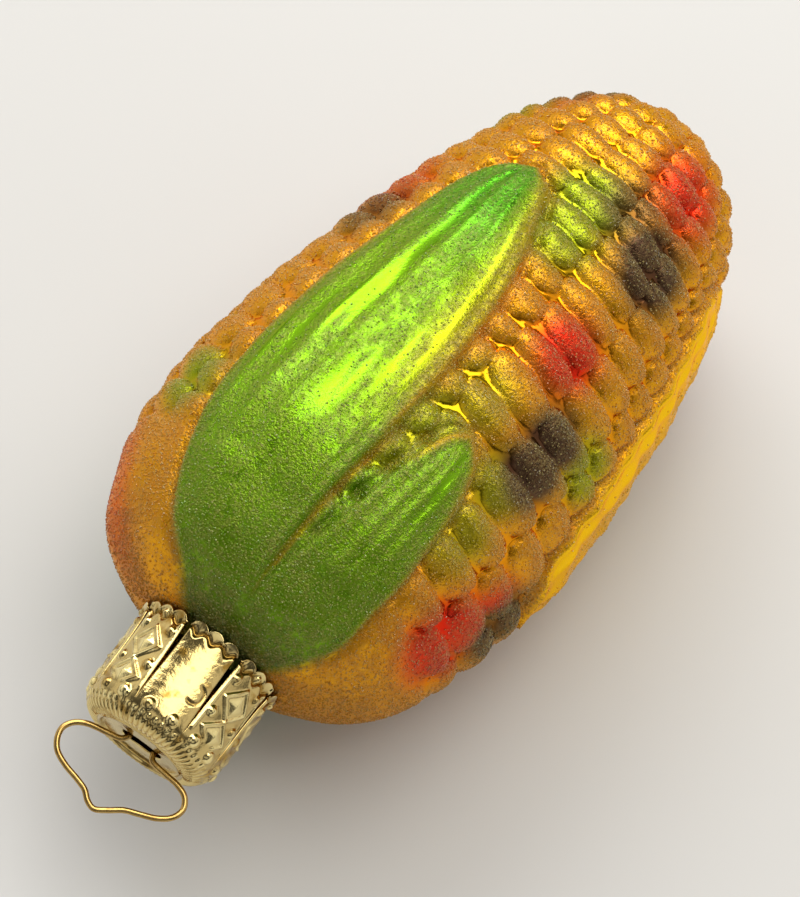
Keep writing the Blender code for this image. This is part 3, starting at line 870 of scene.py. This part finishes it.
def crown_cap_tree():
    """Repeats the embossed petal round the cap, with one plain petal where the strip is joined."""
    tree, given, result = new_tree("crown_cap", [("Petals", float(PETALS)), ("Plain Petal", 0.0)], [
        ("Embossed Petal", "NodeSocketObject"), ("Plain Sector", "NodeSocketObject"),
        ("Axis Start", "NodeSocketVector"), ("Axis Rotation", "NodeSocketRotation"),
        ("Metal", "NodeSocketMaterial")])
    parts = []
    for label, operation in (("Embossed Petal", "NOT_EQUAL"), ("Plain Sector", "EQUAL")):
        line = add_node(tree, "GeometryNodeMeshLine", {"Count": PETALS, "Offset": (0.0, 0.0, 0.0)})
        index = add_node(tree, "GeometryNodeInputIndex")
        turn = reckon(tree, "MULTIPLY", index.outputs[0], 2 * math.pi / PETALS)
        keep = add_node(tree, "FunctionNodeCompare", {"A": index.outputs[0], "B": given["Plain Petal"]},
                        data_type="FLOAT", operation=operation)
        shape = add_node(tree, "GeometryNodeObjectInfo", {"Object": given[label]})
        spin = add_node(tree, "ShaderNodeCombineXYZ", {"X": turn})
        placed = add_node(tree, "GeometryNodeInstanceOnPoints", {
            "Points": line.outputs["Mesh"], "Selection": keep.outputs["Result"],
            "Instance": shape.outputs["Geometry"], "Rotation": spin.outputs["Vector"]})
        parts.append(placed.outputs["Instances"])
    joined = add_node(tree, "GeometryNodeJoinGeometry")
    for part in parts:
        tree.links.new(part, joined.inputs[0])
    turned = add_node(tree, "GeometryNodeTransform", {"Geometry": joined.outputs[0],
                                                      "Translation": given["Axis Start"],
                                                      "Rotation": given["Axis Rotation"]})
    whole = add_node(tree, "GeometryNodeJoinGeometry")
    tree.links.new(given["Geometry"], whole.inputs[0])
    tree.links.new(turned.outputs[0], whole.inputs[0])
    finish_tree(tree, whole.outputs[0], given["Metal"], result)
    return tree


def to_cap_frame(points_mm):
    """Points on the cap in its own frame: X along its axis, origin on the axis at the face."""
    origin = cap_place(0.0, 0.0, 0.0)
    x = cap_place(1.0, 0.0, 0.0) - origin
    z = cap_place(0.0, 1.0, 0.0) - origin
    y = np.cross(z, x)
    rel = np.asarray(points_mm) - origin
    return np.stack([rel @ x, rel @ y, rel @ z], axis=-1), origin, (x, y, z)


def make_cap(material):
    """The cap: its slotted disc, with eight petals set round it."""
    sectors = []
    for label, embossed in (("petal_embossed", True), ("petal_plain", False)):
        sector = cap_sector(label, embossed)
        local, origin, axes = to_cap_frame(read_points(sector.data) / MM)
        sector.data.vertices.foreach_set("co", (local * MM).ravel())
        sectors.append(sector)
    columns = PETALS * SECTOR_COLUMNS
    turns = PETAL_TURN + 360.0 * np.arange(columns) / columns
    angle = np.radians(turns - WIRE_TURN)
    reach = ((np.abs(np.cos(angle)) / SLOT_HALF_LENGTH) ** 4
             + (np.abs(np.sin(angle)) / SLOT_HALF_WIDTH) ** 4) ** -0.25
    steps = np.array([0.0, 0.04, 0.12, 0.4, 0.7, 1.0])[:, None]
    rim_radius, rim_depth = FACE_PROFILE[0]
    radii = reach[None] * (1 - steps) + rim_radius * steps
    depths = rim_depth + np.array([0.16, 0.03, 0.0, 0.0, 0.0, 0.0])[:, None] + 0 * radii
    places = cap_place(depths, radii, turns[None]).reshape(-1, 3)
    disc = mesh_object("cap_disc", places, grid_faces(len(steps), columns),
                       {"recess": np.full(len(places), 0.35)})
    turn_matrix = Matrix([[axes[c][r] for c in range(3)] for r in range(3)])
    values = {"Embossed Petal": sectors[0], "Plain Sector": sectors[1], "Axis Start": tuple(origin * MM),
              "Axis Rotation": tuple(turn_matrix.to_euler()), "Metal": material}
    cap = baked(disc, crown_cap_tree(), values, "crown_cap")
    for obj in [disc] + sectors:
        bpy.data.objects.remove(obj)
    face_outward(cap, weld=0.004 * MM)
    sheet = cap.modifiers.new("sheet", "SOLIDIFY")
    sheet.thickness = SHEET * MM
    sheet.offset = -1.0
    return cap


# ---- Hanger wire -------------------------------------------------------------
WIRE_DIAMETER = 0.7
WIRE_LOOP = [(4.3, -7.6), (5.1, -6.6), (4.6, -5.0), (2.6, -2.6), (1.75, -1.2), (1.7, -0.4), (2.2, 0.3),
             (4.0, 0.55), (5.8, 0.75), (7.2, 1.35), (7.9, 2.6), (7.5, 4.0), (6.2, 5.1), (4.5, 5.85),
             (2.8, 6.55), (1.4, 7.6), (0.1, 8.4), (-1.0, 8.1), (-2.0, 7.3), (-3.3, 6.85), (-5.3, 6.35),
             (-6.9, 5.6), (-7.8, 4.4), (-8.0, 3.1), (-7.3, 1.9), (-5.9, 1.1), (-3.8, 0.65), (-2.3, 0.3),
             (-1.7, -0.4), (-1.75, -1.2), (-2.6, -2.6), (-4.6, -5.0), (-5.1, -6.6), (-4.3, -7.6)]


def draw_wire_tree():
    """Draws round wire along the bent path."""
    tree, given, result = new_tree("draw_wire", [("Wire Diameter", WIRE_DIAMETER * MM)],
                                   [("Metal", "NodeSocketMaterial")])
    half = reckon(tree, "MULTIPLY", given["Wire Diameter"], 0.5)
    circle = add_node(tree, "GeometryNodeCurvePrimitiveCircle", {"Resolution": 20, "Radius": half})
    wire = add_node(tree, "GeometryNodeCurveToMesh", {"Curve": given["Geometry"],
                                                      "Profile Curve": circle.outputs["Curve"],
                                                      "Fill Caps": True})
    smooth = add_node(tree, "GeometryNodeSetShadeSmooth", {"Geometry": wire.outputs["Mesh"]})
    finish_tree(tree, smooth.outputs[0], given["Metal"], result)
    return tree


def make_wire(material):
    """The hanger: one wire along its bends, with both legs in the neck."""
    bends = spline(WIRE_LOOP, 12)
    curve = bpy.data.curves.new("wire_path", "CURVE")
    curve.dimensions = "3D"
    line = curve.splines.new("POLY")
    line.points.add(len(bends) - 1)
    places = cap_place(-bends[:, 1], bends[:, 0], WIRE_TURN) * MM
    for point, place in zip(line.points, places):
        point.co = (*place, 1.0)
    path = bpy.data.objects.new("wire_path", curve)
    bpy.context.scene.collection.objects.link(path)
    wire = baked(path, draw_wire_tree(), {"Metal": material}, "wire_hanger")
    bpy.data.objects.remove(path)
    face_outward(wire)
    return wire


# ---- Table, light and camera -------------------------------------------------
CAMERA_AZIMUTH, CAMERA_ELEVATION = -48.0, 65.0
CAMERA_DISTANCE = 0.6
VIEW_HEIGHT = 0.1004
VIEW_DEPTH = 45.9
VIEW_SIDE = 0.7


def make_table(material):
    bpy.ops.mesh.primitive_grid_add(x_subdivisions=8, y_subdivisions=8, size=3.0)
    table = bpy.context.object
    table.name = "table_top"
    table.data.materials.append(material)


def aim(obj, target):
    obj.rotation_euler = (Vector(target) - obj.location).to_track_quat("-Z", "Y").to_euler()


def make_light(name, place, target, size, power, colour):
    data = bpy.data.lights.new(name, "AREA")
    data.shape = "RECTANGLE"
    data.size, data.size_y = size
    data.energy = power
    data.color = srgb(colour)[:3]
    light = bpy.data.objects.new(name, data)
    light.location = place
    bpy.context.scene.collection.objects.link(light)
    aim(light, target)


def make_studio():
    """A room lighter on the window's side, a window and a ceiling."""
    world = bpy.data.worlds.new("studio")
    world.use_nodes = True
    bpy.context.scene.world = world
    tree = world.node_tree
    background = tree.nodes["Background"]
    coords = add_node(tree, "ShaderNodeTexCoord").outputs["Generated"]
    facing = add_node(tree, "ShaderNodeVectorMath", {0: coords, 1: (0.6, 0.4, 0.7)}, operation="DOT_PRODUCT")
    daylight = stretch(tree, facing.outputs["Value"], -0.5, 1.0, 0.36, 0.78)
    room = stretch(tree, mottle(tree, coords, 1.6, 1.0), 0.4, 0.6, 0.15, 1.6)
    background.inputs["Color"].default_value = srgb("#F4F1EC")
    tree.links.new(reckon(tree, "MULTIPLY", daylight, room), background.inputs["Strength"])
    centre = (0.0, 0.0, 0.024)
    make_light("window", (0.38, 0.42, 0.66), centre, (0.6, 0.5), 3.9, "#FFFFFF")
    make_light("ceiling", (0.28, -0.14, 0.85), centre, (0.7, 0.6), 4.3, "#FFFCF4")


def make_camera():
    azimuth, elevation = math.radians(CAMERA_AZIMUTH), math.radians(CAMERA_ELEVATION)
    toward = Vector((math.sin(azimuth) * math.cos(elevation), -math.cos(azimuth) * math.cos(elevation),
                     math.sin(elevation)))
    target = Vector(axis_point(VIEW_DEPTH) * MM) + Vector(LEAN_SIDE) * (VIEW_SIDE * MM)
    data = bpy.data.cameras.new("camera")
    data.sensor_fit = "VERTICAL"
    data.sensor_height = 24.0
    data.lens = data.sensor_height * CAMERA_DISTANCE / VIEW_HEIGHT
    data.clip_start = 0.01
    camera = bpy.data.objects.new("camera", data)
    camera.location = target + toward * CAMERA_DISTANCE
    bpy.context.scene.collection.objects.link(camera)
    aim(camera, target)
    bpy.context.scene.camera = camera
    bpy.context.scene.view_settings.view_transform = "Standard"


def main():
    make_camera()
    make_table(painted_table())
    make_studio()
    glass = make_glass_body(silvered_lacquered_glass())
    grains = make_grains(glass, clear_glass_grains())
    cap = make_cap(gilt_stamping())
    wire = make_wire(drawn_brass_wire())
    for piece in [glass, cap, wire] + grains:
        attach(piece, "root")
    for piece in [glass] + grains:
        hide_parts("glass_body")
    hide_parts("cap")
    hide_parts("hanger_wire")


main()
